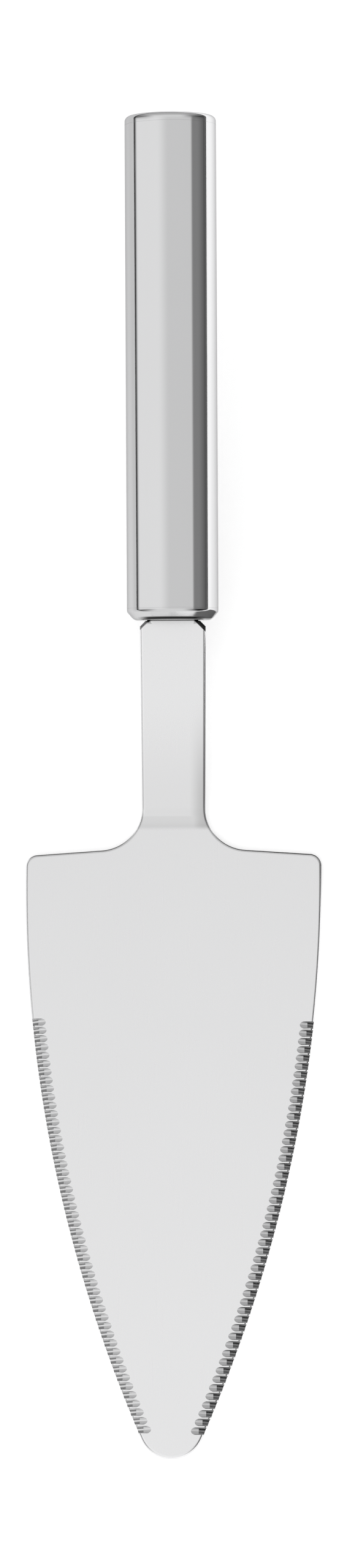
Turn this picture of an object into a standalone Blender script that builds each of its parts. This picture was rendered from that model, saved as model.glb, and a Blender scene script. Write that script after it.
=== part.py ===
# Pizza server: one serrated and bent steel sheet set in a hollow oval steel handle.
# Metres, +Z up. The blade lies flat on the ground, tip towards -Y, and the handle rises towards +Y.

import math

import bmesh
import bpy
from mathutils import Matrix, Vector

# Blade sheet; lengths run along the flat sheet from the start of the bend
SHEET_THICKNESS = 0.0018
BLADE_WIDTH = 0.0627
BLADE_LENGTH = 0.1378  # start of the bend to the tip
WIDEST_AT = 0.0145  # where the straight heel sides turn into the long side curves
TIP_RADIUS = 0.0068
HEEL_AT = 0.0088  # foot of the fillets between neck and shoulders
HEEL_SLOPE = math.radians(4.0)  # the shoulders fall back towards their outer corners
HEEL_CORNER_RADIUS = 0.0026
EDGE_ROUNDING = 0.0007

# Neck and tang
NECK_LENGTH = 0.0398  # start of the bend to the front face of the handle
NECK_WIDTH = 0.0140
WAIST_WIDTH = 0.0134
NECK_FILLET_RADIUS = 0.0091
TANG_WIDTH = 0.0100
TANG_LENGTH = 0.0300
TANG_CORNER_RADIUS = 0.0010
BARB_DEPTH = 0.0008
BARB_PITCH = 0.0050
BARB_COUNT = 3

# Bend between neck and blade
BEND_ANGLE = math.radians(15.0)
BEND_INNER_RADIUS = 0.0160

# Serrations: round flutes ground across both edges of the upper face, steeper outside their knee
TOOTH_PITCH = 0.001775
TEETH_FROM_BEND = 0.0458
TEETH_TO_TIP = 0.0050
FLUTE_RADIUS = 0.0011
FLUTE_SLOPE = math.radians(20.0)
EDGE_SLOPE = math.radians(34.0)
KNEE_FROM_EDGE = 0.0013
EDGE_LAND = 0.00035  # metal left under the deepest line of a flute at the edge

# Handle
HANDLE_LENGTH = 0.1073
HANDLE_WIDTH = 0.0195
HANDLE_DEPTH = 0.0160
HANDLE_WALL = 0.0006
FRONT_CHAMFER = 0.0017
CHAMFER_ROUNDING = 0.0008
FRONT_WALL = 0.0012
BUTT_RADIUS = 0.0011
BUTT_WALL = 0.0012
CAP_LAND = 0.0008  # straight stretch of a cap between its rim and the tube
LIP_LENGTH = 0.0030
LIP_WALL = 0.0008
PLUG_LENGTH = 0.0220
PLUG_CHAMFER = 0.0006

FIT_GAP = 0.0003  # clearance between neighbouring pieces

# Facets
OVAL_SIDES = 48
ARC_STEP = math.radians(11.0)
SIDE_CURVE_STEPS = 22
BEND_STEPS = 6
FLUTE_STEPS = 8
ROUNDING_STEPS = 2
SHARP_ANGLE = math.radians(30.0)
SAME_PLACE = 1e-6

# Places that several pieces share
SHEET_HALF = SHEET_THICKNESS / 2.0
BEND_MIDDLE_RADIUS = BEND_INNER_RADIUS + SHEET_HALF
FRONT_FACE = NECK_LENGTH
BUTT_END = FRONT_FACE + HANDLE_LENGTH
FRONT_SEAM = FRONT_FACE + FRONT_CHAMFER + CAP_LAND
BUTT_SEAM = BUTT_END - BUTT_RADIUS - CAP_LAND
BORE_INSET = HANDLE_WALL
FITTED_INSET = BORE_INSET + FIT_GAP  # what slides into the tube
CUP_INSET = FITTED_INSET + LIP_WALL


def clear_scene():
    for old in list(bpy.data.objects):
        bpy.data.objects.remove(old, do_unlink=True)


def finish(name, colour, roughness, metallic):
    material = bpy.data.materials.new(name)
    material.use_nodes = True
    shader = material.node_tree.nodes["Principled BSDF"]
    shader.inputs["Base Color"].default_value = (*colour, 1.0)
    shader.inputs["Roughness"].default_value = roughness
    shader.inputs["Metallic"].default_value = metallic
    return material


def add_piece(name, shape, parent, material=None):
    bmesh.ops.recalc_face_normals(shape, faces=shape.faces)
    mesh = bpy.data.meshes.new(name)
    shape.to_mesh(mesh)
    shape.free()
    mesh.shade_smooth()
    mesh.set_sharp_from_angle(angle=SHARP_ANGLE)
    if material:
        mesh.materials.append(material)
    piece = bpy.data.objects.new(name, mesh)
    piece.parent = parent
    bpy.context.scene.collection.objects.link(piece)
    return piece


def cut_away(piece, cutter):
    cutter.hide_render = True
    cutter.display_type = "WIRE"
    cut = piece.modifiers.new(cutter.name, "BOOLEAN")
    cut.operation = "DIFFERENCE"
    cut.solver = "EXACT"
    cut.object = cutter


def rounded_path(corners):
    """Points of an open path; each corner (first, second, radius) is rounded by a tangent arc."""
    points = [Vector(corners[0][:2])]
    for before, corner, after in zip(corners, corners[1:], corners[2:]):
        at = Vector(corner[:2])
        if corner[2] == 0.0:
            points.append(at)
            continue
        back = Vector(before[:2]) - at
        ahead = Vector(after[:2]) - at
        half = back.angle(ahead) / 2.0
        # Two arcs at the ends of one straight stretch have half of it each
        room = min(back.length / (2.0 if before[2] else 1.0), ahead.length / (2.0 if after[2] else 1.0))
        radius = min(corner[2], room * math.tan(half))
        centre = at + (back.normalized() + ahead.normalized()).normalized() * radius / math.sin(half)
        first = at + back.normalized() * radius / math.tan(half) - centre
        last = at + ahead.normalized() * radius / math.tan(half) - centre
        sweep = first.angle_signed(last)
        steps = max(2, round(abs(sweep) / ARC_STEP))
        for step in range(steps + 1):
            points.append(centre + Matrix.Rotation(-sweep * step / steps, 2) @ first)
    points.append(Vector(corners[-1][:2]))
    path = points[:1]
    for point in points[1:]:
        if (point - path[-1]).length > SAME_PLACE:
            path.append(point)
    return path


def on_circle(centre, radius, angle):
    return centre + radius * Vector((math.cos(angle), math.sin(angle)))


def side_curve():
    """Centre and radius of the long side arc, tangent to the heel's side and to the tip's arc."""
    half_width = BLADE_WIDTH / 2.0
    run = BLADE_LENGTH - TIP_RADIUS - WIDEST_AT
    radius = (half_width**2 + run**2 - TIP_RADIUS**2) / (2.0 * (half_width - TIP_RADIUS))
    return Vector((half_width - radius, WIDEST_AT)), radius


def half_width_at(along):
    centre, radius = side_curve()
    return centre.x + math.sqrt(radius**2 - (along - centre.y) ** 2)


def blade_half_outline():
    """Right half of the flat sheet, from the end of the tang to the tip, as (across, along)."""
    tang = TANG_WIDTH / 2.0
    neck = NECK_WIDTH / 2.0
    waist = WAIST_WIDTH / 2.0
    blade = BLADE_WIDTH / 2.0
    tang_end = -FRONT_FACE - TANG_LENGTH
    seat = -FRONT_FACE + FIT_GAP
    corners = [(0.0, tang_end, 0.0), (tang, tang_end, TANG_CORNER_RADIUS)]
    for barb in range(BARB_COUNT):
        notch = tang_end + BARB_PITCH * (barb + 1)
        corners.append((tang, notch - BARB_DEPTH, 0.0))
        corners.append((tang - BARB_DEPTH, notch, 0.0))
        corners.append((tang, notch + 2.0 * BARB_DEPTH, 0.0))
    corners += [
        (tang, seat, 0.0),
        (neck, seat + neck - tang, 0.0),
        (waist, HEEL_AT, NECK_FILLET_RADIUS),
        (blade, HEEL_AT + (blade - waist) * math.tan(HEEL_SLOPE), HEEL_CORNER_RADIUS),
        (blade, WIDEST_AT, 0.0),
    ]
    outline = rounded_path(corners)
    side_centre, side_radius = side_curve()
    tip_centre = Vector((0.0, BLADE_LENGTH - TIP_RADIUS))
    meeting = math.atan2(tip_centre.y - side_centre.y, -side_centre.x)
    for step in range(1, SIDE_CURVE_STEPS + 1):
        outline.append(on_circle(side_centre, side_radius, meeting * step / SIDE_CURVE_STEPS))
    sweep = math.pi / 2.0 - meeting
    tip_steps = round(sweep / ARC_STEP)
    for step in range(1, tip_steps + 1):
        outline.append(on_circle(tip_centre, TIP_RADIUS, meeting + sweep * step / tip_steps))
    return outline


def bent(point):
    """Carries (across, along, height) on the flat sheet to its place on the bent sheet."""
    across, along, height = point
    angle = min(max(along / BEND_MIDDLE_RADIUS, 0.0), BEND_ANGLE)
    straight = along - angle * BEND_MIDDLE_RADIUS
    radius = BEND_MIDDLE_RADIUS - height
    y = -radius * math.sin(angle) - straight * math.cos(angle)
    z = BEND_MIDDLE_RADIUS - radius * math.cos(angle) + straight * math.sin(angle)
    return Vector((across, y, z))


def flat_sheet():
    """The stamped sheet with its edges rounded on both faces."""
    right = blade_half_outline()
    left = [Vector((-p.x, p.y)) for p in reversed(right[1:-1])]
    sheet = bmesh.new()
    rim = [sheet.verts.new((p.x, p.y, -SHEET_HALF)) for p in right + left]
    grown = bmesh.ops.extrude_face_region(sheet, geom=[sheet.faces.new(rim)])
    raised = [v for v in grown["geom"] if isinstance(v, bmesh.types.BMVert)]
    bmesh.ops.translate(sheet, verts=raised, vec=(0.0, 0.0, SHEET_THICKNESS))
    level = [e for e in sheet.edges if abs(e.verts[0].co.z - e.verts[1].co.z) < SAME_PLACE]
    bmesh.ops.bevel(
        sheet,
        geom=level,
        offset=EDGE_ROUNDING,
        offset_type="OFFSET",
        segments=ROUNDING_STEPS,
        profile=0.5,
        affect="EDGES",
    )
    return sheet


def bend(sheet):
    for step in range(BEND_STEPS + 1):
        line = (0.0, BEND_MIDDLE_RADIUS * BEND_ANGLE * step / BEND_STEPS, 0.0)
        whole = [*sheet.verts, *sheet.edges, *sheet.faces]
        bmesh.ops.bisect_plane(
            sheet, geom=whole, dist=SAME_PLACE, plane_co=line, plane_no=(0.0, 1.0, 0.0)
        )
    for vertex in sheet.verts:
        vertex.co = bent(vertex.co)


def flute_row(side, from_edge):
    """Points on the bottoms of one edge's flutes, that far in from the edge: one arc to a tooth."""
    teeth = math.floor((BLADE_LENGTH - TEETH_TO_TIP - TEETH_FROM_BEND) / TOOTH_PITCH + SAME_PLACE)
    chord = min(1.0, TOOTH_PITCH / (2.0 * FLUTE_RADIUS))  # full half rounds if the pitch leaves room
    first_step = 1 if chord < 1.0 else 0  # flutes that meet share the points of their crest
    steep = min(from_edge, KNEE_FROM_EDGE)
    bottom = EDGE_LAND - SHEET_HALF + steep * math.tan(EDGE_SLOPE)
    bottom += (from_edge - steep) * math.tan(FLUTE_SLOPE)
    row = []
    for tooth in range(teeth):
        middle = TEETH_FROM_BEND + TOOTH_PITCH * (tooth + 0.5)
        for step in range(min(tooth, first_step), FLUTE_STEPS + 1):
            angle = math.asin(chord) * (2.0 * step / FLUTE_STEPS - 1.0)
            along = middle + FLUTE_RADIUS * math.sin(angle)
            height = bottom + FLUTE_RADIUS * (1.0 - math.cos(angle))
            row.append(Vector((side * (half_width_at(along) - from_edge), along, height)))
    return row


def flute_comb(side):
    """Grinding body for one edge: its flutes, drawn across the edge in two slopes."""
    inner_end = KNEE_FROM_EDGE + 2.0 * SHEET_THICKNESS / math.tan(FLUTE_SLOPE)
    rows = [flute_row(side, place) for place in (-SHEET_THICKNESS, KNEE_FROM_EDGE, inner_end)]
    lift = Vector((0.0, 0.0, 3.0 * SHEET_THICKNESS))
    rows += [[point + lift for point in row] for row in (rows[2], rows[0])]
    comb = bmesh.new()
    strands = [[comb.verts.new(bent(point)) for point in row] for row in rows]
    for a, b in zip(strands, strands[1:] + strands[:1]):
        for k in range(len(a) - 1):
            comb.faces.new((a[k], a[k + 1], b[k + 1], b[k]))
    comb.faces.new([strand[0] for strand in strands])
    comb.faces.new([strand[-1] for strand in strands])
    return comb


def make_blade(material, parent):
    sheet = flat_sheet()
    bend(sheet)
    blade = add_piece("blade", sheet, parent, material)
    cut_away(blade, add_piece("right_flutes", flute_comb(1.0), parent))
    cut_away(blade, add_piece("left_flutes", flute_comb(-1.0), parent))
    return blade


def oval_body(profile, closed_ends):
    """Sweeps a profile of (inset, place on the axis) round the handle's oval."""
    body = bmesh.new()
    rings = []
    for inset, along in profile:
        ring = []
        for k in range(OVAL_SIDES):
            angle = 2.0 * math.pi * k / OVAL_SIDES
            x = (HANDLE_WIDTH / 2.0 - inset) * math.cos(angle)
            z = (HANDLE_DEPTH / 2.0 - inset) * math.sin(angle)
            ring.append(body.verts.new((x, along, z)))
        rings.append(ring)
    if closed_ends:
        body.faces.new(rings[0])
        body.faces.new(rings[-1])
    else:
        rings.append(rings[0])
    for a, b in zip(rings, rings[1:]):
        for k in range(OVAL_SIDES):
            after = (k + 1) % OVAL_SIDES
            body.faces.new((a[k], a[after], b[after], b[k]))
    return body


def tang_slot(name, start, end, parent):
    """Cutter that clears the tang from one place on the handle's axis to another."""
    size = Vector((TANG_WIDTH + 2.0 * FIT_GAP, end - start, SHEET_THICKNESS + 2.0 * FIT_GAP))
    place = Matrix.Translation((0.0, (start + end) / 2.0, 0.0)) @ Matrix.Diagonal((*size, 1.0))
    box = bmesh.new()
    bmesh.ops.create_cube(box, size=1.0, matrix=place)
    return add_piece(name, box, parent)


def make_front_cap(material, parent):
    lip_end = FRONT_SEAM + LIP_LENGTH
    back = FRONT_FACE + FRONT_WALL
    profile = rounded_path(
        [
            (2.0 * FRONT_CHAMFER, FRONT_FACE, 0.0),
            (FRONT_CHAMFER, FRONT_FACE, CHAMFER_ROUNDING),
            (0.0, FRONT_FACE + FRONT_CHAMFER, CHAMFER_ROUNDING),
            (0.0, FRONT_SEAM, 0.0),
            (FITTED_INSET, FRONT_SEAM, 0.0),
            (FITTED_INSET, lip_end, 0.0),
            (CUP_INSET, lip_end, 0.0),
            (CUP_INSET, back, 0.0),
        ]
    )
    cap = add_piece("front_cap", oval_body(profile, True), parent, material)
    cut_away(cap, tang_slot("front_slot", FRONT_FACE - FRONT_WALL, back + FRONT_WALL, parent))
    return cap


def make_handle_tube(material, parent):
    start = FRONT_SEAM + FIT_GAP
    end = BUTT_SEAM - FIT_GAP
    profile = [(0.0, start), (0.0, end), (BORE_INSET, end), (BORE_INSET, start)]
    return add_piece("handle_tube", oval_body(profile, False), parent, material)


def make_tang_plug(material, parent):
    start = FRONT_SEAM + LIP_LENGTH + FIT_GAP
    end = start + PLUG_LENGTH
    narrow = FITTED_INSET + PLUG_CHAMFER
    profile = [
        (narrow, start),
        (FITTED_INSET, start + PLUG_CHAMFER),
        (FITTED_INSET, end - PLUG_CHAMFER),
        (narrow, end),
    ]
    plug = add_piece("tang_plug", oval_body(profile, True), parent, material)
    cut_away(plug, tang_slot("plug_slot", start - PLUG_CHAMFER, end + PLUG_CHAMFER, parent))
    return plug


def make_butt_cap(material, parent):
    lip_end = BUTT_SEAM - LIP_LENGTH
    profile = rounded_path(
        [
            (CUP_INSET, BUTT_END - BUTT_WALL, 0.0),
            (CUP_INSET, lip_end, 0.0),
            (FITTED_INSET, lip_end, 0.0),
            (FITTED_INSET, BUTT_SEAM, 0.0),
            (0.0, BUTT_SEAM, 0.0),
            (0.0, BUTT_END, BUTT_RADIUS),
            (2.0 * BUTT_RADIUS, BUTT_END, 0.0),
        ]
    )
    return add_piece("butt_cap", oval_body(profile, True), parent, material)


def lay_on_ground(server, pieces):
    """Turns the blade flat and brings the middle of the server's footprint to the origin."""
    server.rotation_euler.x = BEND_ANGLE
    bpy.context.view_layer.update()
    graph = bpy.context.evaluated_depsgraph_get()
    points = []
    for piece in pieces:
        solid = piece.evaluated_get(graph)
        points += [solid.matrix_world @ v.co for v in solid.data.vertices]
    lows = [min(p[axis] for p in points) for axis in range(3)]
    highs = [max(p[axis] for p in points) for axis in range(3)]
    server.location = (-(lows[0] + highs[0]) / 2.0, -(lows[1] + highs[1]) / 2.0, -lows[2])


def main():
    clear_scene()
    server = bpy.data.objects.new("server", None)
    bpy.context.scene.collection.objects.link(server)
    satin_steel = finish("satin_steel", (0.62, 0.62, 0.63), 0.28, 1.0)
    handle_steel = finish("handle_steel", (0.60, 0.60, 0.61), 0.20, 1.0)
    cap_steel = finish("cap_steel", (0.58, 0.58, 0.59), 0.22, 1.0)
    plug_plastic = finish("plug_plastic", (0.05, 0.05, 0.05), 0.55, 0.0)
    pieces = [
        make_blade(satin_steel, server),
        make_front_cap(cap_steel, server),
        make_handle_tube(handle_steel, server),
        make_tang_plug(plug_plastic, server),
        make_butt_cap(cap_steel, server),
    ]
    lay_on_ground(server, pieces)


main()
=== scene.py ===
import math

import bmesh
import bpy
from mathutils import Matrix, Vector


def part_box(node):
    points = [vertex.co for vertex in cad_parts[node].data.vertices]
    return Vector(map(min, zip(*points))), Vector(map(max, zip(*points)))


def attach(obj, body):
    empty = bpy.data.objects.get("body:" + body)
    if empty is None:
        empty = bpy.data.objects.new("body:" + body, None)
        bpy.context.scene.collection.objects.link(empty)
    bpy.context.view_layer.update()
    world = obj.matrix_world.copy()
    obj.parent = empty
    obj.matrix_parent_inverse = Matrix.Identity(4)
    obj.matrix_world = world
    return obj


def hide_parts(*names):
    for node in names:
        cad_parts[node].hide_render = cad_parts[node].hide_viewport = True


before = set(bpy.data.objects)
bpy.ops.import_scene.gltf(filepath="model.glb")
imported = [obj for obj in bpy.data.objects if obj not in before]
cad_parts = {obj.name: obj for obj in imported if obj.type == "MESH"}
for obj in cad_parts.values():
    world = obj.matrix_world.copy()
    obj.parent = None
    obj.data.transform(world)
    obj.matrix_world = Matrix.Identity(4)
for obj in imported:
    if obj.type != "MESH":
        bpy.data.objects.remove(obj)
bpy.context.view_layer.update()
print("frame loaded:", ", ".join(sorted(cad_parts)))

samePlace = 1e-6  # metres within which two places count as one
weldGap = 1e-7
sharpCorner = math.radians(60.0)  # from which an edge gets rounded
quarterTurn = math.pi / 2

# The handle's own frame: its axis runs along +Y, the bend starts at 0 and the blade goes towards -Y
server = {
    "bendAngle": math.radians(15.0),
    "bendRadius": 0.0169,  # to the middle of the sheet
    "sheet": 0.0018,
    "bladeLength": 0.1378,  # start of the bend to the tip, along the sheet
    "fitGap": 0.0003,  # between neighbouring nodes of the frame
}
bendArc = server["bendRadius"] * server["bendAngle"]
bladeLow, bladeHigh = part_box("blade")
bendStart = Vector((
    (bladeLow.x + bladeHigh.x) / 2,
    bladeLow.y + server["bladeLength"] - bendArc + server["bendRadius"] * math.sin(server["bendAngle"]),
    bladeLow.z + server["sheet"] / 2 + server["bendRadius"] * (1 - math.cos(server["bendAngle"])),
))
onServer = Matrix.Translation(bendStart) @ Matrix.Rotation(server["bendAngle"], 4, "X")


def handleBox(node):  # lowest and highest corner of a node in the handle's own frame
    points = [onServer.inverted() @ v.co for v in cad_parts[node].data.vertices]
    low = Vector([min(p[i] for p in points) for i in range(3)])
    high = Vector([max(p[i] for p in points) for i in range(3)])
    return low, high


# Modelling helpers

def nothingPicked():
    if bpy.context.object and bpy.context.object.mode != "OBJECT":
        bpy.ops.object.mode_set(mode="OBJECT")
    bpy.ops.object.select_all(action="DESELECT")


def onlyPick(piece):
    nothingPicked()
    piece.select_set(True)
    bpy.context.view_layer.objects.active = piece


def startPiece(name, material):  # the primitive just added, with its place in its mesh
    piece = bpy.context.object
    piece.name = name
    piece.data.name = name
    piece.data.materials.append(material)
    bpy.ops.object.transform_apply(location=True, rotation=True, scale=True)
    bpy.ops.object.mode_set(mode="EDIT")
    return piece


def pick(piece, kind, wanted):  # selects the corners, edges or faces that pass a test
    bpy.ops.mesh.select_mode(type=kind)
    bpy.ops.mesh.select_all(action="DESELECT")
    shape = bmesh.from_edit_mesh(piece.data)
    parts = {"VERT": shape.verts, "EDGE": shape.edges, "FACE": shape.faces}[kind]
    for part in parts:
        if wanted(part):
            part.select_set(True)
    shape.select_flush_mode()
    bmesh.update_edit_mesh(piece.data)


def addModifier(piece, kind, **values):
    modifier = piece.modifiers.new(kind.lower(), kind)
    for key, value in values.items():
        setattr(modifier, key, value)
    bpy.ops.object.modifier_apply(modifier=modifier.name)


def joinCopies(name, copies):
    nothingPicked()
    for copy in copies:
        copy.select_set(True)
    bpy.context.view_layer.objects.active = copies[0]
    bpy.ops.object.join()
    copies[0].name = name
    return copies[0]


def cutAway(piece, cutter):
    onlyPick(piece)
    addModifier(
        piece, "BOOLEAN", operation="DIFFERENCE", solver="EXACT", object=cutter, material_mode="TRANSFER"
    )
    bpy.data.objects.remove(cutter)


def isBorder(edge):  # an edge between two materials
    return len({face.material_index for face in edge.link_faces}) > 1


faceWeight = 80  # how far large faces set the shading of a corner


def finishPiece(piece, node, smoothAngle):  # welds, places and shades it, and hands it to the frame
    onlyPick(piece)
    bpy.ops.object.mode_set(mode="EDIT")
    bpy.ops.mesh.select_all(action="SELECT")
    bpy.ops.mesh.remove_doubles(threshold=weldGap)
    bpy.ops.mesh.normals_make_consistent(inside=False)
    bpy.ops.object.mode_set(mode="OBJECT")
    piece.matrix_world = onServer
    bpy.ops.object.transform_apply(location=True, rotation=True, scale=True)
    bpy.ops.object.shade_smooth_by_angle(angle=smoothAngle)
    bpy.ops.object.mode_set(mode="EDIT")
    pick(piece, "EDGE", isBorder)
    bpy.ops.mesh.mark_sharp()
    bpy.ops.object.mode_set(mode="OBJECT")
    addModifier(piece, "WEIGHTED_NORMAL", keep_sharp=True, weight=faceWeight)
    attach(piece, "root")
    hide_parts(node)
    print("piece:", piece.name, len(piece.data.polygons), "faces")


# Materials

def newGroup(name, inputs, outputs):
    group = bpy.data.node_groups.new(name, "ShaderNodeTree")
    for sockets, way in ((inputs, "INPUT"), (outputs, "OUTPUT")):
        for socket, kind in sockets:
            group.interface.new_socket(socket, in_out=way, socket_type=kind)
    start = group.nodes.new("NodeGroupInput")
    end = group.nodes.new("NodeGroupOutput")
    return group, start, end


def addNode(tree, kind, **values):  # with its settings and the values of its inputs
    node = tree.nodes.new(kind)
    for key, value in values.items():
        if key in node.inputs:
            node.inputs[key].default_value = value
        else:
            setattr(node, key, value)
    return node


def ramp(tree, source, low, high, atLow, atHigh):  # a soft step of a value between two places
    step = addNode(tree, "ShaderNodeMapRange", interpolation_type="SMOOTHSTEP")
    step.inputs["From Min"].default_value = low
    step.inputs["From Max"].default_value = high
    step.inputs["To Min"].default_value = atLow
    step.inputs["To Max"].default_value = atHigh
    tree.links.new(source, step.inputs["Value"])
    return step.outputs["Result"]


def drift(tree, source, middle, swing):  # a value that follows a pattern up and down
    node = addNode(tree, "ShaderNodeMapRange")
    node.inputs["To Min"].default_value = middle - swing
    node.inputs["To Max"].default_value = middle + swing
    tree.links.new(source, node.inputs["Value"])
    return node.outputs["Result"]


def feed(tree, socket, value):  # links a socket or sets a value
    if isinstance(value, bpy.types.NodeSocket):
        tree.links.new(value, socket)
    elif value is not None:
        socket.default_value = value


def sums(tree, operation, first, second=None, third=None):  # one sum of values or sockets
    node = addNode(tree, "ShaderNodeMath", operation=operation)
    for socket, value in zip(node.inputs, (first, second, third)):
        feed(tree, socket, value)
    return node.outputs["Value"]


def product(tree, parts):  # all the parts multiplied, one after the other
    result = parts[0]
    for part in parts[1:]:
        result = sums(tree, "MULTIPLY", result, part)
    return result


colourMix = {"share": 0, "first": 6, "second": 7, "result": 2}  # places of a colour mix's sockets


def blend(tree, share, first, second):  # from one colour to another, as plain values or sockets
    node = addNode(tree, "ShaderNodeMix", data_type="RGBA")
    tree.links.new(share, node.inputs[colourMix["share"]])
    for key, colour in (("first", first), ("second", second)):
        feed(tree, node.inputs[colourMix[key]], (*colour, 1.0) if isinstance(colour, tuple) else colour)
    return node.outputs[colourMix["result"]]


grainLook = {
    "lineDetail": 3.0,
    "lineRoughness": 0.65,
    "hazeDetail": 4.0,
    "hazeRoughness": 0.55,
    "hazeDistortion": 0.4,
    "hairlineTurn": math.radians(11.0),  # a few longer hairlines cross the grain at a small angle
    "hairlineStretch": (1.0, 0.03, 1.0),
    "hairlinesPerMetre": 2600.0,
    "hairlineDetail": 1.0,
    "hairlineFrom": 0.70,  # strength of the noise that shows as a hairline
    "hairlineTo": 0.76,
}


def makeGrainGroup(look):  # fine brushed lines that run along Y, with slow drifts in their strength
    group, start, end = newGroup(
        "steelGrain",
        [
            ("Vector", "NodeSocketVector"),
            ("Lines per metre", "NodeSocketFloat"),
            ("Stretch", "NodeSocketVector"),
            ("Haze scale", "NodeSocketFloat"),
        ],
        [("Lines", "NodeSocketFloat"), ("Haze", "NodeSocketFloat"), ("Scratches", "NodeSocketFloat")],
    )
    link = group.links.new
    stretch = addNode(group, "ShaderNodeVectorMath", operation="MULTIPLY")
    link(start.outputs["Vector"], stretch.inputs[0])
    link(start.outputs["Stretch"], stretch.inputs[1])
    lines = addNode(
        group, "ShaderNodeTexNoise", Detail=look["lineDetail"], Roughness=look["lineRoughness"]
    )
    link(stretch.outputs["Vector"], lines.inputs["Vector"])
    link(start.outputs["Lines per metre"], lines.inputs["Scale"])
    link(lines.outputs["Fac"], end.inputs["Lines"])
    haze = addNode(
        group, "ShaderNodeTexNoise", Detail=look["hazeDetail"], Roughness=look["hazeRoughness"],
        Distortion=look["hazeDistortion"],
    )
    link(start.outputs["Vector"], haze.inputs["Vector"])
    link(start.outputs["Haze scale"], haze.inputs["Scale"])
    link(haze.outputs["Fac"], end.inputs["Haze"])
    tilt = addNode(
        group, "ShaderNodeMapping", Rotation=(0.0, 0.0, look["hairlineTurn"]), Scale=look["hairlineStretch"]
    )
    link(start.outputs["Vector"], tilt.inputs["Vector"])
    marks = addNode(
        group, "ShaderNodeTexNoise", Scale=look["hairlinesPerMetre"], Detail=look["hairlineDetail"]
    )
    link(tilt.outputs["Vector"], marks.inputs["Vector"])
    few = ramp(group, marks.outputs["Fac"], look["hairlineFrom"], look["hairlineTo"], 0.0, 1.0)
    link(few, end.inputs["Scratches"])
    return group


def makeSteel(name, grainGroup, look):
    material = bpy.data.materials.new(name)
    material.use_nodes = True
    tree = material.node_tree
    link = tree.links.new
    shader = tree.nodes["Principled BSDF"]
    shader.inputs["Metallic"].default_value = 1.0
    shader.inputs["Specular Tint"].default_value = (*look["rimTint"], 1.0)
    place = addNode(tree, "ShaderNodeTexCoord")
    turn = addNode(tree, "ShaderNodeMapping", Rotation=look["grainTurn"])
    link(place.outputs["Object"], turn.inputs["Vector"])
    grain = addNode(tree, "ShaderNodeGroup")
    grain.node_tree = grainGroup
    grain.inputs["Lines per metre"].default_value = look["linesPerMetre"]
    grain.inputs["Stretch"].default_value = look["lineStretch"]
    grain.inputs["Haze scale"].default_value = look["hazeScale"]
    link(turn.outputs["Vector"], grain.inputs["Vector"])
    # Colour drifts with the haze, and roughness with the lines and the hairlines
    tone = blend(tree, grain.outputs["Haze"], look["darkColour"], look["paleColour"])
    link(tone, shader.inputs["Base Color"])
    rough = drift(tree, grain.outputs["Lines"], look["roughness"], look["roughnessDrift"])
    rough = sums(tree, "MULTIPLY_ADD", grain.outputs["Scratches"], look["scratchRoughness"], rough)
    link(rough, shader.inputs["Roughness"])
    bump = addNode(tree, "ShaderNodeBump", Strength=look["bumpStrength"], Distance=look["bumpDepth"])
    link(grain.outputs["Lines"], bump.inputs["Height"])
    link(bump.outputs["Normal"], shader.inputs["Normal"])
    return material


def paintShadeOnSteel(material, mask, look):  # painted shade where the mask is 1: darker and rougher steel
    tree = material.node_tree
    link = tree.links.new
    shader = tree.nodes["Principled BSDF"]
    unshadedColour = shader.inputs["Base Color"].links[0].from_socket
    link(blend(tree, mask, unshadedColour, look["colour"]), shader.inputs["Base Color"])
    unshadedRough = shader.inputs["Roughness"].links[0].from_socket
    link(sums(tree, "MULTIPLY_ADD", mask, look["roughness"], unshadedRough), shader.inputs["Roughness"])


def handlePlace(tree):  # across, along and up in the handle's own frame
    place = addNode(tree, "ShaderNodeTexCoord")
    turn = addNode(
        tree, "ShaderNodeMapping", vector_type="TEXTURE", Location=bendStart,
        Rotation=(server["bendAngle"], 0.0, 0.0),
    )
    tree.links.new(place.outputs["Object"], turn.inputs["Vector"])
    split = addNode(tree, "ShaderNodeSeparateXYZ")
    tree.links.new(turn.outputs["Vector"], split.inputs["Vector"])
    return split


def darkenCap(material, face, look):  # painted shade on the rounding of the cap's front face, above the tang
    tree = material.node_tree
    place = handlePlace(tree)
    along = place.outputs["Y"]
    soft = look["softness"]
    end = face + look["depth"]
    paintShadeOnSteel(material, product(tree, [
        ramp(tree, sums(tree, "ABSOLUTE", place.outputs["X"]), look["fadeFrom"], look["fadeTo"], 1.0, 0.0),
        ramp(tree, along, face, face + soft, 0.0, 1.0),
        ramp(tree, along, end - soft, end + soft, 1.0, 0.0),
        ramp(tree, place.outputs["Z"], look["from"] - soft, look["from"] + soft, 0.0, 1.0),
    ]), look)


def darkenNeck(material, face, look):  # painted shade on the tang in front of the cap and along the neck's cut corners
    tree = material.node_tree
    place = handlePlace(tree)
    across, along = place.outputs["X"], place.outputs["Y"]
    soft = look["softness"]
    seat = face - look["seat"]
    mask = ramp(tree, along, seat - soft, seat + soft, 0.0, 1.0)
    for operation, depth, share in look["corners"]:
        corner = seat + look["halfWidth"] - depth
        cut = ramp(tree, sums(tree, operation, along, across), corner - soft, corner + soft, 0.0, share)
        mask = sums(tree, "MAXIMUM", mask, cut)
    paintShadeOnSteel(material, mask, look)


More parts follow.
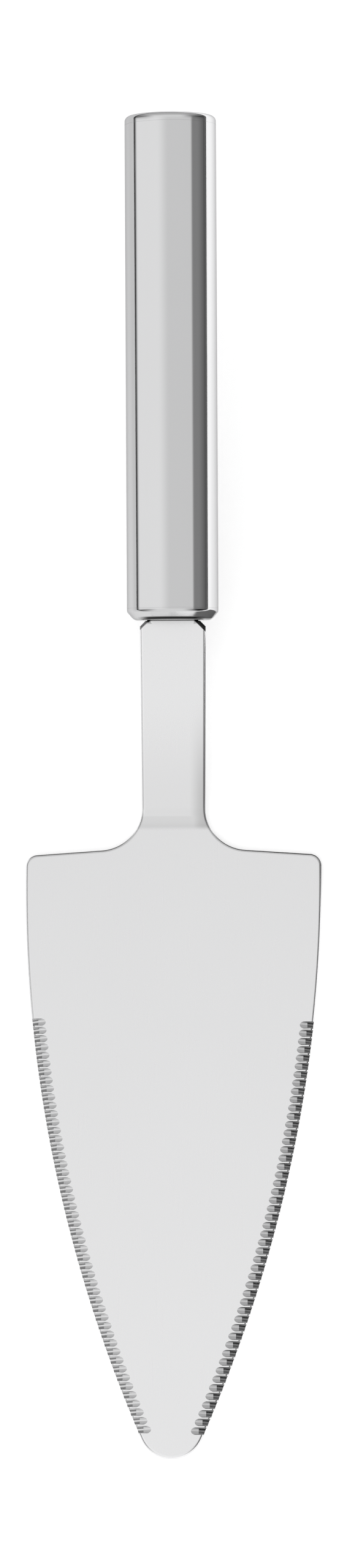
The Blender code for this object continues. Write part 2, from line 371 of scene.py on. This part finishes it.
def paintBendShade(material, look):  # painted shade over the bend, fading up the neck and stronger towards the neck's right edge
    tree = material.node_tree
    place = handlePlace(tree)
    along = place.outputs["Y"]
    neck = ramp(tree, along, 0.0, look["neckFrom"], look["neckShare"], 0.0)
    start = ramp(tree, along, look["to"], look["from"], look["share"], 0.0)
    edge = ramp(tree, place.outputs["X"], 0.0, look["edgeAt"], 0.0, 1.0)
    edge = sums(tree, "POWER", edge, look["edgeFall"])
    edge = sums(tree, "MULTIPLY", edge, ramp(tree, along, 0.0, look["neckFrom"], 1.0, 0.0))
    end = ramp(tree, along, -bendArc - look["softness"], -bendArc + look["softness"], 0.0, 1.0)
    mask = sums(tree, "MAXIMUM", sums(tree, "MAXIMUM", neck, start), edge)
    paintShadeOnSteel(material, sums(tree, "MULTIPLY", mask, end), look)


def paintWallShade(material, look):  # painted shade on walls that face along the blade, towards the handle or the tip
    tree = material.node_tree
    facing = addNode(tree, "ShaderNodeTexCoord")
    split = addNode(tree, "ShaderNodeSeparateXYZ")
    tree.links.new(facing.outputs["Normal"], split.inputs["Vector"])
    turned = sums(tree, "MULTIPLY", split.outputs["Y"], look["towards"])
    mask = ramp(tree, turned, look["from"], look["to"], 0.0, 1.0)
    reach = server["sheet"]  # the share changes from left to right over a narrow stretch in the middle
    share = ramp(tree, handlePlace(tree).outputs["X"], -reach, reach, look["leftShare"], look["rightShare"])
    paintShadeOnSteel(material, sums(tree, "MULTIPLY", mask, share), look)


steelGrain = makeGrainGroup(grainLook)

satinSteel = makeSteel("satinSteel", steelGrain, {
    "grainTurn": (0.0, 0.0, 0.0),
    "linesPerMetre": 7000.0,
    "lineStretch": (1.0, 0.02, 0.02),
    "hazeScale": 30.0,
    "darkColour": (0.81, 0.81, 0.815),
    "paleColour": (0.83, 0.83, 0.835),
    "rimTint": (0.85, 0.85, 0.85),
    "roughness": 0.27,
    "roughnessDrift": 0.01,
    "scratchRoughness": 0.015,
    "bumpStrength": 0.004,
    "bumpDepth": 0.00002,
})

# Painted shade in the gap in front of the cap and along the neck's cut corners
darkenNeck(satinSteel, handleBox("front_cap")[0].y, {
    "halfWidth": 0.0058,  # of the neck's end
    "seat": 0.0001,  # in front of the cap
    "corners": [("ADD", 0.0012, 1.0), ("SUBTRACT", 0.0008, 0.7)],  # right and left, depth and share
    "softness": 0.0001,
    "colour": (0.04, 0.04, 0.04),
    "roughness": 0.2,  # added to the unshaded steel's
})

# Painted shade over the bend and along the neck
paintBendShade(satinSteel, {
    "neckFrom": 0.0250,  # along the neck, where the grey sets in
    "neckShare": 0.24,
    "from": -0.0012,  # along the bend
    "to": -0.0022,
    "share": 0.46,
    "edgeAt": 0.0066,  # the right edge, where the painted shade is strongest
    "edgeFall": 2.2,
    "softness": 0.0006,
    "colour": (0.55, 0.55, 0.55),
    "roughness": 0.05,
})
paintWallShade(satinSteel, {  # painted shade on the heel's edges that face the handle
    "towards": 1.0,
    "from": 0.40,
    "to": 0.65,
    "leftShare": 1.0,
    "rightShare": 1.0,
    "colour": (0.12, 0.12, 0.12),
    "roughness": 0.1,
})

groundSteel = makeSteel("groundSteel", steelGrain, {
    "grainTurn": (0.0, 0.0, quarterTurn),  # the stone ran across the blade's edge
    "linesPerMetre": 9000.0,
    "lineStretch": (1.0, 0.05, 0.05),
    "hazeScale": 400.0,
    "darkColour": (0.66, 0.66, 0.665),
    "paleColour": (0.70, 0.70, 0.705),
    "rimTint": (0.85, 0.85, 0.85),
    "roughness": 0.19,
    "roughnessDrift": 0.04,
    "scratchRoughness": 0.05,
    "bumpStrength": 0.08,
    "bumpDepth": 0.00002,
})
paintWallShade(groundSteel, {  # painted shade on the side of each flute that faces the tip, stronger on the right
    "towards": -1.0,
    "from": 0.30,
    "to": 0.65,
    "leftShare": 0.2,
    "rightShare": 0.8,
    "colour": (0.08, 0.08, 0.08),
    "roughness": 0.1,
})

handleSteel = makeSteel("handleSteel", steelGrain, {
    "grainTurn": (-server["bendAngle"], 0.0, 0.0),
    "linesPerMetre": 9000.0,
    "lineStretch": (1.0, 0.01, 1.0),
    "hazeScale": 25.0,
    "darkColour": (0.60, 0.60, 0.605),
    "paleColour": (0.625, 0.625, 0.63),
    "rimTint": (0.6, 0.6, 0.6),
    "roughness": 0.08,
    "roughnessDrift": 0.02,
    "scratchRoughness": 0.04,
    "bumpStrength": 0.03,
    "bumpDepth": 0.00001,
})

capLook = {
    "grainTurn": (-server["bendAngle"], 0.0, 0.0),
    "linesPerMetre": 9000.0,
    "lineStretch": (1.0, 0.05, 1.0),
    "hazeScale": 60.0,
    "darkColour": (0.60, 0.60, 0.605),
    "paleColour": (0.625, 0.625, 0.63),
    "rimTint": (0.6, 0.6, 0.6),
    "roughness": 0.10,
    "roughnessDrift": 0.02,
    "scratchRoughness": 0.04,
    "bumpStrength": 0.03,
    "bumpDepth": 0.00001,
}
capSteel = makeSteel("capSteel", steelGrain, capLook)
frontSteel = makeSteel("frontSteel", steelGrain, capLook)
# Painted shade in the gap where the neck enters the cap
darkenCap(frontSteel, handleBox("front_cap")[0].y, {
    "fadeFrom": 0.0048,  # from the middle
    "fadeTo": 0.0078,
    "depth": 0.0006,  # from the cap's front face
    "from": 0.0035,  # above the handle's axis
    "softness": 0.00015,
    "colour": (0.03, 0.03, 0.03),
    "roughness": 0.3,  # added to the unshaded steel's
})


def makePlugPlastic(look):  # moulded plastic with a fine eroded surface
    material = bpy.data.materials.new("plugPlastic")
    material.use_nodes = True
    tree = material.node_tree
    link = tree.links.new
    shader = tree.nodes["Principled BSDF"]
    place = addNode(tree, "ShaderNodeTexCoord")
    pits = addNode(tree, "ShaderNodeTexNoise", Scale=look["pitsPerMetre"], Detail=look["pitDetail"])
    link(place.outputs["Object"], pits.inputs["Vector"])
    tone = blend(tree, pits.outputs["Fac"], look["darkColour"], look["paleColour"])
    link(tone, shader.inputs["Base Color"])
    rough = drift(tree, pits.outputs["Fac"], look["roughness"], look["roughnessDrift"])
    link(rough, shader.inputs["Roughness"])
    bump = addNode(tree, "ShaderNodeBump", Strength=look["bumpStrength"], Distance=look["bumpDepth"])
    link(pits.outputs["Fac"], bump.inputs["Height"])
    link(bump.outputs["Normal"], shader.inputs["Normal"])
    return material


plugPlastic = makePlugPlastic({
    "pitsPerMetre": 2500.0,
    "pitDetail": 5.0,
    "darkColour": (0.035, 0.035, 0.037),
    "paleColour": (0.06, 0.06, 0.062),
    "roughness": 0.55,
    "roughnessDrift": 0.08,
    "bumpStrength": 0.25,
    "bumpDepth": 0.00005,
})
print("materials made")

# Handle: a drawn oval tube between two caps

handle = {
    "sides": 128,
    "wall": 0.0006,
    "seam": 0.00001,  # hairline between the tube and a cap
    "rimRounding": 0.00001,
    "rimSteps": 2,
    "lipInset": 0.0009,  # a cap's lip against the tube's outside
    "lipWall": 0.0008,
    "smoothAngle": math.radians(40.0),
}
tubeLow, tubeHigh = handleBox("handle_tube")
capLow, capHigh = handleBox("front_cap")
buttLow, buttHigh = handleBox("butt_cap")
halfWidth = tubeHigh.x
halfDepth = tubeHigh.z


def addOval(name, material, start, end, fill):  # a round bar along the handle's axis, pressed to the oval
    nothingPicked()
    bpy.ops.mesh.primitive_cylinder_add(
        vertices=handle["sides"],
        radius=halfWidth,
        depth=end - start,
        end_fill_type=fill,
        location=(0, (start + end) / 2, 0),
        rotation=(quarterTurn, 0, 0),
    )
    piece = startPiece(name, material)
    bpy.ops.mesh.select_all(action="SELECT")
    bpy.ops.transform.resize(value=(1, 1, halfDepth / halfWidth), center_override=(0, 0, 0))
    return piece


def pickAcross(piece, kind, place):  # the flat face or the ring of edges across the axis at that place
    pick(piece, kind, lambda part: all(abs(v.co.y - place) < samePlace for v in part.verts))


def narrowed(now, inset):  # how far the oval shrinks from one inset to the next
    return ((halfWidth - inset) / (halfWidth - now), 1, (halfDepth - inset) / (halfDepth - now))


def pushEnd(step, scale=(1, 1, 1)):  # extrudes the picked end along the axis and resizes it
    bpy.ops.mesh.extrude_region_move(TRANSFORM_OT_translate={"value": (0, step, 0)})
    bpy.ops.transform.resize(value=scale, center_override=(0, 0, 0))


def addLip(piece, seam, lipEnd, cupEnd):  # the lip that goes into the tube, with a cup behind it
    lipInner = handle["lipInset"] + handle["lipWall"]
    pickAcross(piece, "FACE", seam)
    pushEnd(0, narrowed(0, handle["lipInset"]))
    pushEnd(lipEnd - seam)
    pushEnd(0, narrowed(handle["lipInset"], lipInner))
    pushEnd(cupEnd - lipEnd)


def makeHandleTube():
    start = tubeLow.y - server["fitGap"] + handle["seam"]
    end = tubeHigh.y + server["fitGap"] - handle["seam"]
    piece = addOval("handleTube", handleSteel, start, end, "NOTHING")
    bpy.ops.object.mode_set(mode="OBJECT")
    addModifier(piece, "SOLIDIFY", thickness=handle["wall"], offset=-1.0, use_even_offset=True)
    addModifier(
        piece, "BEVEL", width=handle["rimRounding"], segments=handle["rimSteps"], limit_method="ANGLE",
        angle_limit=sharpCorner,
    )
    finishPiece(piece, "handle_tube", handle["smoothAngle"])


frontCap = {
    "chamferLength": 0.0018,
    "chamferInset": 0.0016,
    "shoulderRounding": 0.0003,
    "faceRounding": 0.00065,
    "roundingSteps": 8,
    "land": 0.0007,  # straight stretch between the chamfer and the tube
    "slotWidth": 0.0109,
    "slotHeight": 0.0020,
    "slotDepth": 0.0048,  # of the cutter, half of it behind the front face
    "wall": 0.0012,
    "smoothAngle": math.radians(30.0),
}


def makeFrontCap():
    face = capLow.y
    shoulder = face + frontCap["chamferLength"]
    seam = shoulder + frontCap["land"]
    lipEnd = capHigh.y
    piece = addOval("frontCap", frontSteel, shoulder, seam, "NGON")
    pickAcross(piece, "FACE", shoulder)
    pushEnd(-frontCap["chamferLength"], narrowed(0, frontCap["chamferInset"]))
    addLip(piece, seam, lipEnd, face + frontCap["wall"])
    # Soft corners on both ends of the chamfer
    for place, rounding in ((shoulder, frontCap["shoulderRounding"]), (face, frontCap["faceRounding"])):
        pickAcross(piece, "EDGE", place)
        bpy.ops.mesh.bevel(offset=rounding, segments=frontCap["roundingSteps"], affect="EDGES")
    bpy.ops.object.mode_set(mode="OBJECT")
    nothingPicked()
    bpy.ops.mesh.primitive_cube_add(size=1.0, location=(0, face, 0))
    slot = startPiece("slotCutter", frontSteel)
    bpy.ops.mesh.select_all(action="SELECT")
    bpy.ops.transform.resize(
        value=(frontCap["slotWidth"], frontCap["slotDepth"], frontCap["slotHeight"]),
        center_override=(0, face, 0),
    )
    bpy.ops.object.mode_set(mode="OBJECT")
    cutAway(piece, slot)
    finishPiece(piece, "front_cap", frontCap["smoothAngle"])


buttCap = {
    "rimRadius": 0.0011,
    "rimSteps": 8,
    "land": 0.0008,
    "wall": 0.0012,
    "smoothAngle": math.radians(30.0),
}


def makeButtCap():
    end = buttHigh.y
    seam = end - buttCap["rimRadius"] - buttCap["land"]
    piece = addOval("buttCap", capSteel, seam, end, "NGON")
    pickAcross(piece, "EDGE", end)
    bpy.ops.mesh.bevel(offset=buttCap["rimRadius"], segments=buttCap["rimSteps"], affect="EDGES")
    addLip(piece, seam, buttLow.y, end - buttCap["wall"])
    bpy.ops.object.mode_set(mode="OBJECT")
    finishPiece(piece, "butt_cap", buttCap["smoothAngle"])


makeHandleTube()
makeFrontCap()
makeButtCap()

# Blade: one sheet with its tang, neck and serrated edges

blade = {
    "width": 0.0627,
    "widestAt": 0.0145,  # along the sheet from the start of the bend
    "tipRadius": 0.0068,
    "tipFlat": 0.0003,
    "heelAt": 0.0088,
    "heelSlope": math.radians(4.0),
    "heelCorner": 0.0026,
    "neckWidth": 0.0140,
    "waistWidth": 0.0134,
    "neckFillet": 0.0091,
    "tangWidth": 0.0100,
    "tangLength": 0.0300,
    "tangCorner": 0.0010,
    "seatGap": 0.0001,  # in front of the cap
    "seatStep": 0.0008,  # how far the neck's end stands out beside the tang
    "barbDepth": 0.0008,
    "barbRamp": 0.0016,  # length of a barb's slope
    "barbPitch": 0.0050,
    "barbs": 3,
    "edgeRounding": 0.0007,
    "edgeSteps": 8,
    "arcStep": math.radians(3.0),
    "leastArcSteps": 3,
    "sideSteps": 90,
    "bendSteps": 14,
    "smoothAngle": math.radians(12.5),
}

flutes = {
    "count": 49,
    "pitch": {1: 0.001765, -1: 0.001775},  # on the right and on the left
    "firstAt": {1: 0.0466, -1: 0.0458},  # along the sheet from the start of the bend
    "width": 0.0015,
    "reach": 0.0054,  # of a stone beyond the edge and above the sheet
    "crestHeight": 0.0011,  # of the bevelled crests above the flutes
    "crestCut": 0.0004,
    "roundDepth": 0.00035,  # of the round bottom, below upright walls
    "sides": 48,
    "innerSlope": math.radians(20.0),
    "outerSlope": math.radians(34.0),
    "kneeFromEdge": 0.0013,  # where the flutes turn steeper
    "edgeLand": 0.00035,  # metal left under a flute at the edge
}


def roundedPath(corners):  # (across, along, radius) corners, rounded by tangent arcs
    path = [Vector(corners[0][:2])]
    for before, corner, after in zip(corners, corners[1:], corners[2:]):
        at = Vector(corner[:2])
        if corner[2] == 0:
            path.append(at)
            continue
        back = (Vector(before[:2]) - at).normalized()
        ahead = (Vector(after[:2]) - at).normalized()
        half = back.angle(ahead) / 2
        centre = at + (back + ahead).normalized() * corner[2] / math.sin(half)
        first = at + back * corner[2] / math.tan(half) - centre
        last = at + ahead * corner[2] / math.tan(half) - centre
        sweep = first.angle_signed(last)
        steps = max(blade["leastArcSteps"], round(abs(sweep) / blade["arcStep"]))
        path += [centre + Matrix.Rotation(-sweep * k / steps, 2) @ first for k in range(steps + 1)]
    path.append(Vector(corners[-1][:2]))
    return path


def sideArc():  # centre and radius of the long side curve, which runs into the tip's arc
    half = blade["width"] / 2
    run = server["bladeLength"] - blade["tipRadius"] - blade["widestAt"]
    radius = (half**2 + run**2 - blade["tipRadius"]**2) / (2 * (half - blade["tipRadius"]))
    return Vector((half - radius, blade["widestAt"])), radius


def halfWidthAt(along):
    centre, radius = sideArc()
    return centre.x + math.sqrt(radius**2 - (along - centre.y)**2)


def bladeRows():  # half width and place of each row across the sheet, from the tang to the tip
    tang = blade["tangWidth"] / 2
    neck = blade["neckWidth"] / 2
    waist = blade["waistWidth"] / 2
    half = blade["width"] / 2
    tangEnd = -capLow.y - blade["tangLength"]
    seat = -capLow.y + blade["seatGap"]
    shoulder = tang + blade["seatStep"]
    corners = [(tang - blade["tangCorner"], tangEnd, 0), (tang, tangEnd + blade["tangCorner"], 0)]
    for barb in range(blade["barbs"]):
        notch = tangEnd + blade["barbPitch"] * (barb + 1)
        corners.append((tang, notch - blade["barbDepth"], 0))
        corners.append((tang - blade["barbDepth"], notch, 0))
        corners.append((tang, notch + blade["barbRamp"], 0))
    corners += [
        (tang, seat, 0),
        (shoulder, seat, 0),
        (neck, seat + neck - shoulder, 0),
        (waist, blade["heelAt"], blade["neckFillet"]),
        (half, blade["heelAt"] + (half - waist) * math.tan(blade["heelSlope"]), blade["heelCorner"]),
        (half, blade["widestAt"], 0),
    ]
    rows = roundedPath(corners)
    centre, radius = sideArc()
    tipCentre = Vector((0, server["bladeLength"] - blade["tipRadius"]))
    meeting = math.atan2(tipCentre.y - centre.y, -centre.x)
    for k in range(1, blade["sideSteps"] + 1):
        angle = meeting * k / blade["sideSteps"]
        rows.append(centre + radius * Vector((math.cos(angle), math.sin(angle))))
    last = math.acos(blade["tipFlat"] / blade["tipRadius"])
    tipSteps = round((last - meeting) / blade["arcStep"])
    for k in range(1, tipSteps + 1):
        angle = meeting + (last - meeting) * k / tipSteps
        rows.append(tipCentre + blade["tipRadius"] * Vector((math.cos(angle), math.sin(angle))))
    return rows


def makeSheet():  # a strip drawn out row by row, then given its thickness and soft edges
    rows = bladeRows()
    first = rows[0]
    nothingPicked()
    bpy.ops.mesh.primitive_plane_add(size=2.0, location=(0, -first.y, 0))  # reaches one unit each way
    piece = startPiece("bladeSheet", satinSteel)
    bpy.ops.mesh.select_all(action="SELECT")
    bpy.ops.transform.resize(value=(first.x, 0, 1), center_override=(0, -first.y, 0))
    bpy.ops.mesh.remove_doubles(threshold=samePlace)
    bpy.ops.mesh.select_mode(type="EDGE")
    bpy.ops.mesh.select_all(action="SELECT")
    for row, nextRow in zip(rows, rows[1:]):
        bpy.ops.mesh.extrude_region_move(TRANSFORM_OT_translate={"value": (0, row.y - nextRow.y, 0)})
        bpy.ops.transform.resize(value=(nextRow.x / row.x, 1, 1), center_override=(0, 0, 0))
    bpy.ops.mesh.select_all(action="SELECT")
    bpy.ops.mesh.dissolve_faces()  # one clean face, so that the edge rounding runs on undisturbed
    bpy.ops.mesh.normals_make_consistent(inside=False)
    bpy.ops.object.mode_set(mode="OBJECT")
    addModifier(piece, "SOLIDIFY", thickness=server["sheet"], offset=0.0)
    addModifier(
        piece, "BEVEL", width=blade["edgeRounding"], segments=blade["edgeSteps"], limit_method="ANGLE",
        angle_limit=sharpCorner, use_clamp_overlap=False,
    )
    return piece


def sweepStone(side, lift):  # draws a profile along the flute's two slopes, above its bottom
    half = server["sheet"] / 2
    knee = -half + flutes["edgeLand"] + flutes["kneeFromEdge"] * math.tan(flutes["outerSlope"])
    inner = Vector((-side, 0, math.tan(flutes["innerSlope"]))) * flutes["reach"]
    outer = Vector((side, 0, -math.tan(flutes["outerSlope"]))) * flutes["reach"]
    middle = Vector((-side * flutes["kneeFromEdge"], 0, knee + lift))
    bpy.ops.mesh.select_all(action="SELECT")
    bpy.ops.transform.translate(value=middle + inner)
    bpy.ops.mesh.extrude_region_move(TRANSFORM_OT_translate={"value": -inner})
    bpy.ops.mesh.extrude_region_move(TRANSFORM_OT_translate={"value": outer})
    bpy.ops.mesh.select_all(action="SELECT")
    bpy.ops.mesh.normals_make_consistent(inside=False)
    bpy.ops.object.mode_set(mode="OBJECT")


def makeFluteStone(side):  # a round bottom below upright walls
    radius = flutes["width"] / 2
    nothingPicked()
    bpy.ops.mesh.primitive_circle_add(
        vertices=flutes["sides"], radius=radius, fill_type="NGON", rotation=(0, quarterTurn, 0)
    )
    stone = startPiece("fluteStone", groundSteel)
    bpy.ops.mesh.select_all(action="SELECT")
    bpy.ops.transform.resize(value=(1, 1, flutes["roundDepth"] / radius), center_override=(0, 0, 0))
    pick(stone, "VERT", lambda v: v.co.z > -samePlace)
    bpy.ops.transform.translate(value=(0, 0, flutes["reach"]))
    sweepStone(side, flutes["roundDepth"])
    return stone


def makeCrestStone(side):  # takes the outer end of a crest down to a bevel
    nothingPicked()
    bpy.ops.mesh.primitive_plane_add(size=1.0, rotation=(0, quarterTurn, 0))
    stone = startPiece("crestStone", groundSteel)
    bpy.ops.mesh.select_all(action="SELECT")
    bpy.ops.transform.resize(value=(1, flutes["crestCut"], flutes["reach"]), center_override=(0, 0, 0))
    sweepStone(side, flutes["crestHeight"] + flutes["reach"] / 2)
    return stone


def grindRow(piece, makeStone, teeth):  # the same cut at each tooth on both edges
    stones = []
    for side in (1, -1):
        stone = makeStone(side)
        for tooth in teeth:
            along = flutes["firstAt"][side] + flutes["pitch"][side] * tooth
            onlyPick(stone)
            bpy.ops.object.duplicate()
            cut = bpy.context.object
            cut.location = (side * halfWidthAt(along), -along, 0)
            stones.append(cut)
        bpy.data.objects.remove(stone)
    cutAway(piece, joinCopies("stones", stones))


def grindTeeth(piece):  # a crest stands at each whole tooth, and a flute half way between two crests
    grindRow(piece, makeCrestStone, range(1, flutes["count"]))
    grindRow(piece, makeFluteStone, [tooth + 0.5 for tooth in range(flutes["count"])])


def bentPlace(point):  # from the flat sheet to its place on the bent one
    along = -point.y
    angle = min(max(along / server["bendRadius"], 0), server["bendAngle"])
    straight = along - angle * server["bendRadius"]
    radius = server["bendRadius"] - point.z
    y = -radius * math.sin(angle) - straight * math.cos(angle)
    z = server["bendRadius"] - radius * math.cos(angle) + straight * math.sin(angle)
    return Vector((point.x, y, z))


def bendSheet(piece):
    onlyPick(piece)
    bpy.ops.object.mode_set(mode="EDIT")
    for step in range(blade["bendSteps"] + 1):
        bpy.ops.mesh.select_all(action="SELECT")
        bpy.ops.mesh.bisect(
            plane_co=(0, -bendArc * step / blade["bendSteps"], 0), plane_no=(0, 1, 0), threshold=weldGap
        )
    bpy.ops.object.mode_set(mode="OBJECT")
    for vertex in piece.data.vertices:
        vertex.co = bentPlace(vertex.co)


def makeBlade():
    piece = makeSheet()
    print("sheet drawn:", len(piece.data.polygons), "faces")
    grindTeeth(piece)
    print("flutes ground:", len(piece.data.polygons), "faces")
    bendSheet(piece)
    finishPiece(piece, "blade", blade["smoothAngle"])


makeBlade()

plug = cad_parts["tang_plug"]
plug.data.materials.clear()
plug.data.materials.append(plugPlastic)

# Floor, light and camera

floorLook = {
    "size": 8.0,
    "colour": (0.9, 0.9, 0.9),
    "glow": 0.45,  # lifts the floor to white where the camera sees it
    "inMetal": (-0.15, 0.15),  # across, from where to where the painted glow that reflections see brightens
    "inMetalGlow": (0.20, 0.85),
    "shadeNear": (0.008, 0.014),  # across, where a painted shadow darkens the reflected floor beside the neck
    "shadeFar": (0.08, 0.16),
    "shadeBack": (0.037, 0.040),  # along, from the start of the bend
    "shadeFront": (0.0, 0.014),  # the same, and further to the front the further it is to the right
    "shadeSlope": 0.7,
    "shadeColour": (0.26, 0.26, 0.26),
}


def makeFloor():
    nothingPicked()
    bpy.ops.mesh.primitive_plane_add(size=floorLook["size"], location=(0, 0, bladeLow.z))
    floor = bpy.context.object
    floor.name = "floor"
    material = bpy.data.materials.new("paleFloor")
    material.use_nodes = True
    tree = material.node_tree
    tree.nodes.remove(tree.nodes["Principled BSDF"])
    link = tree.links.new
    card = addNode(tree, "ShaderNodeBsdfDiffuse")
    glow = addNode(tree, "ShaderNodeEmission")
    path = addNode(tree, "ShaderNodeLightPath")
    place = addNode(tree, "ShaderNodeTexCoord")
    split = addNode(tree, "ShaderNodeSeparateXYZ")
    link(place.outputs["Object"], split.inputs["Vector"])
    across = split.outputs["X"]
    along = sums(tree, "SUBTRACT", split.outputs["Y"], bendStart.y)
    aslant = sums(tree, "MULTIPLY_ADD", across, floorLook["shadeSlope"], along)
    reflected = path.outputs["Is Glossy Ray"]
    # A painted shadow beside the neck, which only reflections of the floor show
    shade = product(tree, [
        reflected,
        ramp(tree, across, *floorLook["shadeNear"], 0.0, 1.0),
        ramp(tree, across, *floorLook["shadeFar"], 1.0, 0.0),
        ramp(tree, along, *floorLook["shadeBack"], 1.0, 0.0),
        ramp(tree, aslant, *floorLook["shadeFront"], 0.0, 1.0),
    ])
    link(blend(tree, shade, floorLook["colour"], floorLook["shadeColour"]), card.inputs["Color"])
    # Painted light: reflections see the floor glow brighter towards the right
    inMetal = ramp(tree, across, *floorLook["inMetal"], *floorLook["inMetalGlow"])
    inMetal = sums(tree, "MULTIPLY", inMetal, sums(tree, "SUBTRACT", reflected, shade))
    seen = sums(tree, "MAXIMUM", path.outputs["Is Camera Ray"], path.outputs["Is Transmission Ray"])
    seen = sums(tree, "MULTIPLY_ADD", seen, floorLook["glow"], inMetal)
    link(seen, glow.inputs["Strength"])
    both = addNode(tree, "ShaderNodeAddShader")
    link(card.outputs["BSDF"], both.inputs[0])
    link(glow.outputs["Emission"], both.inputs[1])
    link(both.outputs["Shader"], tree.nodes["Material Output"].inputs["Surface"])
    floor.data.materials.append(material)


photo = {
    "width": 566,
    "height": 2560,
    "bendStartRow": 1318,  # pixel row and column of the start of the bend
    "bendStartColumn": 283.3,
    "metresPerPixel": 0.00013043,  # at the handle's axis
    "distance": 0.9,
    "lean": math.radians(1.87),  # the camera stood a little to the right
    "roll": math.radians(-0.29),
    "farClip": 20.0,
}

# Pairs are directions: across and lengthwise as the camera sees the handle, or height above the floor
light = {
    "topLevel": 1.02,
    "stripLevel": 0.88,  # the middle strip across the handle, against the rest of the top light
    "stripNear": (-0.06, 0.02),  # lengthwise, where the strip starts
    "stripFar": (0.18, 0.28),  # and where it fades into the rest
    "left": (-0.50, -0.08),  # across the strip, where its left side is brighter
    "leftGain": 0.27,
    "right": (0.66, 0.735),  # across the strip, where the light ends on the right
    "rightLevel": 0.36,
    "rightLow": (0.12, 0.52),  # height below which the strip's right end darkens
    "rightLowLevel": 0.52,
    "outLeft": (-0.95, -0.50),  # across, how the rest of the top light fades to the left
    "outLeftLevel": 0.25,
    "outRight": (0.28, 0.92),  # and to the right
    "outRightLevel": 0.06,
    "backRight": (0.35, 0.80),  # lengthwise, where the right side brightens towards the back
    "backRightLevel": 0.40,
    "near": (-0.20, 0.15),  # lengthwise, where the right side darkens towards the front
    "nearRight": (0.60, 0.80),
    "nearRightDrop": 0.95,
    "far": (0.28, 0.85),  # lengthwise, how the light fades behind the butt
    "farLevel": 0.62,
    "horizon": (0.04, 0.20),  # height of the dark line above the floor
    "horizonLevel": 0.03,
    "front": (-0.75, -0.35),  # lengthwise, where that line ends towards the front
    "lowRight": (0.10, 0.20),  # height below which the right side gets no darker
    "lowRightLevel": 0.16,
}


def makeStudioLight():  # a soft box overhead with a brighter-sided strip, and a dark horizon
    world = bpy.data.worlds.new("studio")
    bpy.context.scene.world = world
    world.use_nodes = True
    tree = world.node_tree
    link = tree.links.new
    back = tree.nodes["Background"]
    back.inputs["Color"].default_value = (1.0, 1.0, 1.0, 1.0)
    place = addNode(tree, "ShaderNodeTexCoord")
    turn = addNode(tree, "ShaderNodeVectorRotate", rotation_type="X_AXIS", Angle=-server["bendAngle"])
    link(place.outputs["Generated"], turn.inputs["Vector"])
    lean = addNode(tree, "ShaderNodeVectorRotate", rotation_type="Y_AXIS", Angle=-photo["lean"])
    link(turn.outputs["Vector"], lean.inputs["Vector"])
    split = addNode(tree, "ShaderNodeSeparateXYZ")
    link(lean.outputs["Vector"], split.inputs["Vector"])
    across, lengthwise = split.outputs["X"], split.outputs["Y"]
    splitUp = addNode(tree, "ShaderNodeSeparateXYZ")
    link(place.outputs["Generated"], splitUp.inputs["Vector"])
    height = splitUp.outputs["Z"]
    # The strip, which darkens at its right end
    strip = product(tree, [
        ramp(tree, lengthwise, *light["stripNear"], 0.0, 1.0),
        ramp(tree, lengthwise, *light["stripFar"], 1.0, 0.0),
    ])
    onRight = ramp(tree, across, *light["right"], 0.0, 1.0)
    rightLow = ramp(tree, height, *light["rightLow"], 1.0 - light["rightLowLevel"], 0.0)
    inStrip = product(tree, [
        ramp(tree, across, *light["left"], 1.0 + light["leftGain"], 1.0),
        ramp(tree, across, *light["right"], 1.0, light["rightLevel"]),
        sums(tree, "SUBTRACT", 1.0, product(tree, [rightLow, onRight])),
        light["stripLevel"],
    ])
    # The rest of the top light, which fades to both sides
    rightFade = ramp(tree, across, *light["outRight"], 0.0, -1.0)
    rightDrop = ramp(
        tree, lengthwise, *light["backRight"], 1.0 - light["outRightLevel"], 1.0 - light["backRightLevel"]
    )
    nearRight = ramp(tree, across, *light["nearRight"], 0.0, 1.0)
    nearFade = ramp(tree, lengthwise, *light["near"], -light["nearRightDrop"], 0.0)
    outside = product(tree, [
        ramp(tree, across, *light["outLeft"], light["outLeftLevel"], 1.0),
        sums(tree, "MULTIPLY_ADD", rightFade, rightDrop, 1.0),
        sums(tree, "MULTIPLY_ADD", nearRight, nearFade, 1.0),
    ])
    level = sums(tree, "MULTIPLY_ADD", sums(tree, "SUBTRACT", inStrip, outside), strip, outside)
    # The far end, the dark line above the floor and the least light on the right
    horizon = product(tree, [
        ramp(tree, height, *light["horizon"], 1.0 - light["horizonLevel"], 0.0),
        ramp(tree, lengthwise, *light["front"], 0.0, 1.0),
    ])
    level = product(tree, [
        level,
        ramp(tree, lengthwise, *light["far"], 1.0, light["farLevel"]),
        sums(tree, "SUBTRACT", 1.0, horizon),
        light["topLevel"],
    ])
    lowRight = ramp(tree, height, *light["lowRight"], light["lowRightLevel"], 0.0)
    level = sums(tree, "MAXIMUM", level, product(tree, [lowRight, onRight]))
    # Plain white where the camera looks past the floor
    path = addNode(tree, "ShaderNodeLightPath")
    toWhite = sums(tree, "SUBTRACT", 1.0, level)
    level = sums(tree, "MULTIPLY_ADD", toWhite, path.outputs["Is Camera Ray"], level)
    link(level, back.inputs["Strength"])


def makeCamera():
    bpy.ops.object.camera_add()
    camera = bpy.context.object
    camera.name = "photoCamera"
    scale = photo["metresPerPixel"]
    aside = (photo["width"] / 2 - photo["bendStartColumn"]) * scale
    along = (photo["bendStartRow"] - photo["height"] / 2) * scale
    turn = Matrix.Rotation(photo["lean"], 4, "Y") @ Matrix.Rotation(photo["roll"], 4, "Z")
    camera.matrix_world = onServer @ turn @ Matrix.Translation((aside, along, photo["distance"]))
    camera.data.lens = camera.data.sensor_width * photo["distance"] / (photo["height"] * scale)
    camera.data.clip_end = photo["farClip"]
    bpy.context.scene.camera = camera


makeFloor()
makeStudioLight()
makeCamera()
bpy.context.scene.view_settings.view_transform = "Standard"
print("floor, light and camera set")
